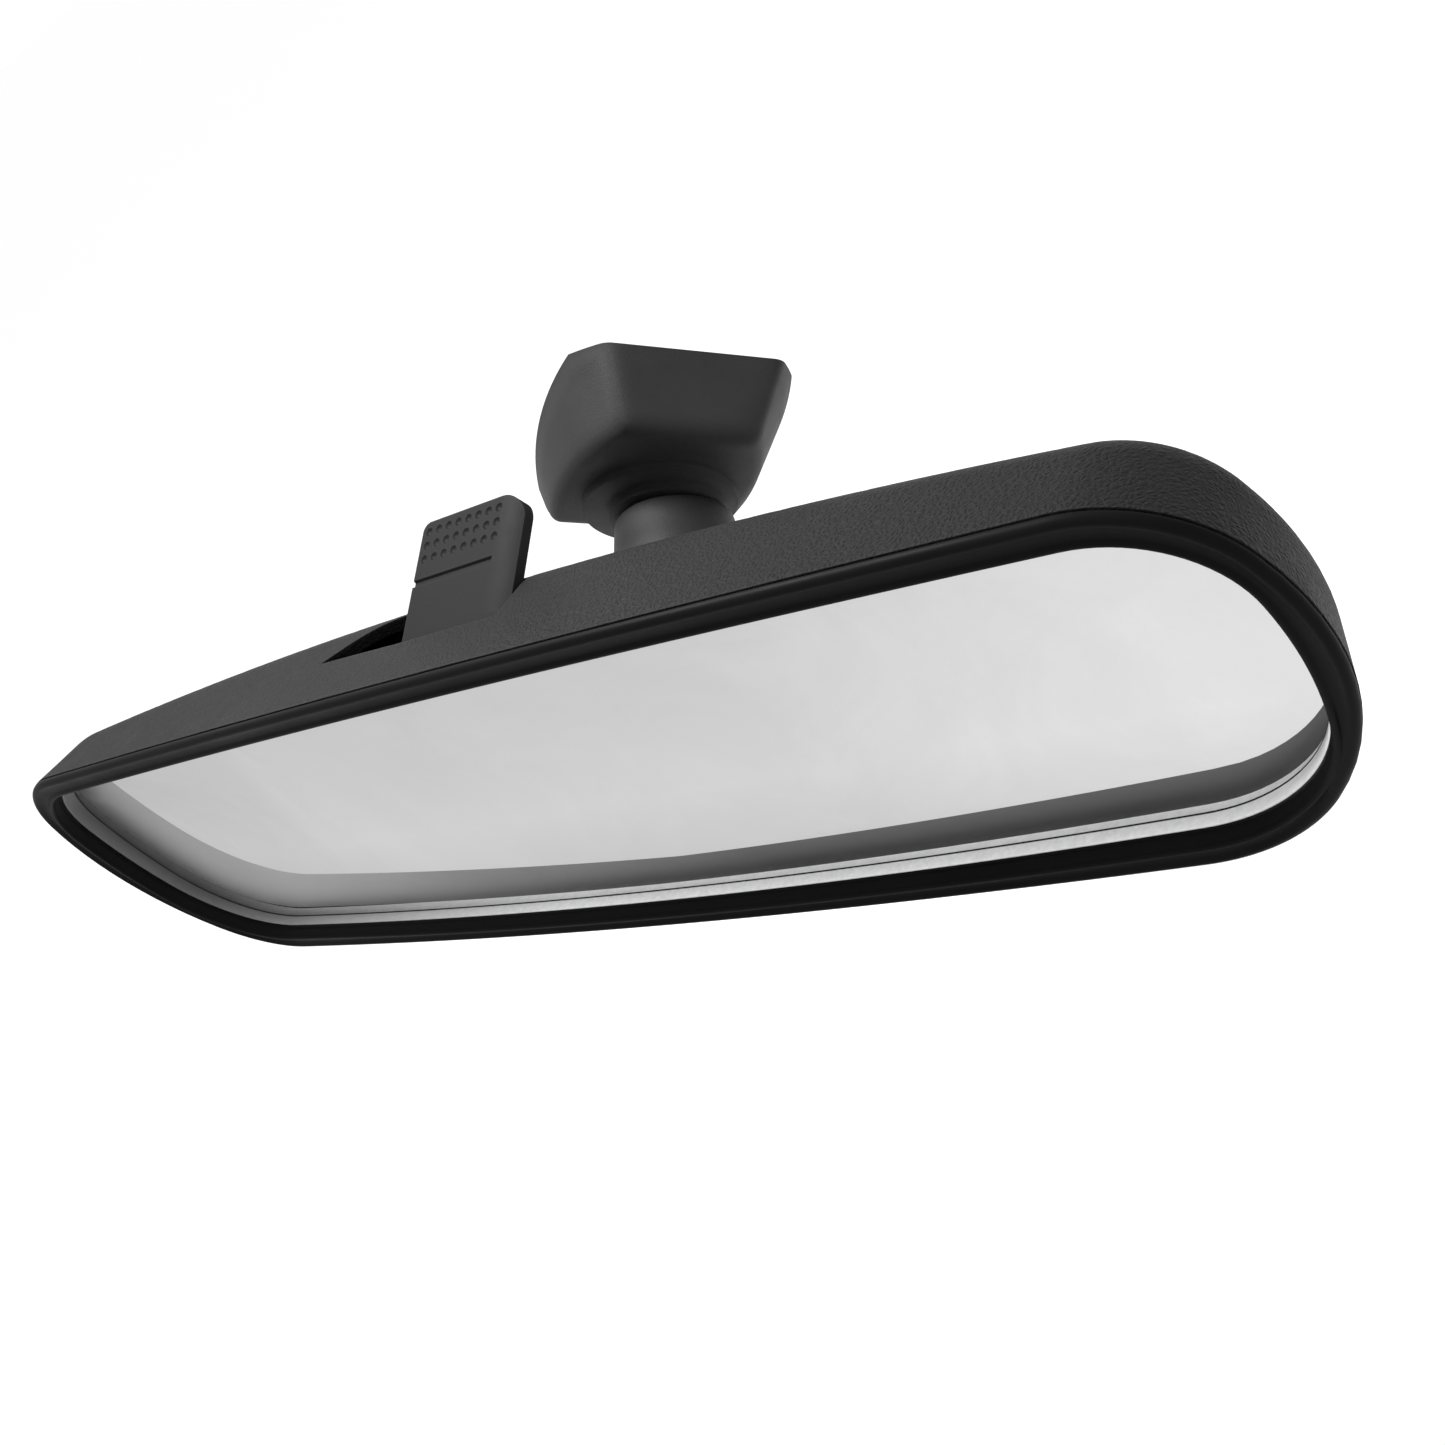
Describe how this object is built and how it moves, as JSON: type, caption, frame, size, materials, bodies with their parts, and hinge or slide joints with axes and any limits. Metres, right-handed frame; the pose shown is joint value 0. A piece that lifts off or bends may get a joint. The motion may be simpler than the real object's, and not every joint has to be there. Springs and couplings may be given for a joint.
{
  "type": "interior rearview mirror",
  "caption": "Long tapered interior rearview mirror with a wedge glass, day and night lever, and a wedge foot that sticks to the windscreen.",
  "frame": {"origin": "centre of the adhesive pad's outer face, where the foot sticks to the windscreen", "axes": "+X along the mirror, +Y from the driver towards the windscreen, +Z towards the lever edge of the mirror, square to both"},
  "size_m": [0.2532, 0.0973, 0.0714],
  "materials": {
    "grained_black": "fine grained black moulded plastic",
    "bezel_black": "smooth satin black moulded plastic",
    "lever_grey": "soft satin black moulded plastic",
    "mirror_glass": "clear polished wedge glass",
    "mirror_coating": "bright reflective coating",
    "inner_plastic": "plain moulded nylon",
    "seat_plastic": "natural acetal",
    "zinc_steel": "zinc plated steel",
    "dark_steel": "black oxide steel",
    "spring_steel": "spring steel",
    "foam": "closed cell foam",
    "rubber": "soft rubber",
    "adhesive": "grey structural adhesive film"
  },
  "bodies": {
    "foot": {"foot_cover": "grained_black", "foot_bracket": "zinc_steel", "screen_button": "zinc_steel", "adhesive_pad": "adhesive"},
    "arm": {"ball_stud": "dark_steel", "arm_collar": "grained_black", "friction_washer": "spring_steel", "arm_nut": "zinc_steel"},
    "seat": {"ball_seat_front": "seat_plastic", "ball_seat_rear": "seat_plastic"},
    "carrier": {"toggle_carrier": "inner_plastic", "socket_cap": "inner_plastic", "socket_screw_left": "dark_steel", "socket_screw_right": "dark_steel"},
    "housing": {"rear_housing": "grained_black", "front_bezel": "bezel_black", "mirror_glass": "mirror_glass", "reflective_coating": "mirror_coating", "foam_pad": "foam", "inner_frame": "inner_plastic", "frame_screw_1": "zinc_steel", "frame_screw_2": "zinc_steel", "frame_screw_3": "zinc_steel", "frame_screw_4": "zinc_steel", "hinge_pin_left": "zinc_steel", "hinge_pin_right": "zinc_steel", "lever_axle": "zinc_steel", "stop_pad_left": "rubber", "stop_pad_right": "rubber", "lever_spring": "spring_steel"},
    "lever": {"day_night_lever": "lever_grey", "crank_pin": "zinc_steel"}
  },
  "joints": [
    {"name": "arm_swivel", "type": "hinge", "parent": "foot", "child": "arm", "pos_m": [0.00153, -0.04366, -0.02332], "axis": [-0.1057, 0.9001, 0.4226], "range_deg": [-25, 25]},
    {"name": "mirror_pitch", "type": "hinge", "parent": "arm", "child": "seat", "pos_m": [0.00153, -0.04366, -0.02332], "axis": [1, 0, 0], "range_deg": [-12, 12]},
    {"name": "mirror_yaw", "type": "hinge", "parent": "seat", "child": "carrier", "pos_m": [0.00153, -0.04366, -0.02332], "axis": [0, 0, 1], "range_deg": [-12, 12]},
    {"name": "day_night_tilt", "type": "hinge", "parent": "carrier", "child": "housing", "pos_m": [0.00153, -0.07206, -0.02882], "axis": [1, 0, 0], "range_deg": [0, 4.9]},
    {"name": "lever_flip", "type": "hinge", "parent": "housing", "child": "lever", "pos_m": [0.00153, -0.07066, 0.02068], "axis": [1, 0, 0], "range_deg": [0, 55.2]}
  ],
  "couplings": [
    {"joint": "lever_flip", "follows": "day_night_tilt", "ratio": 11.22}
  ]
}
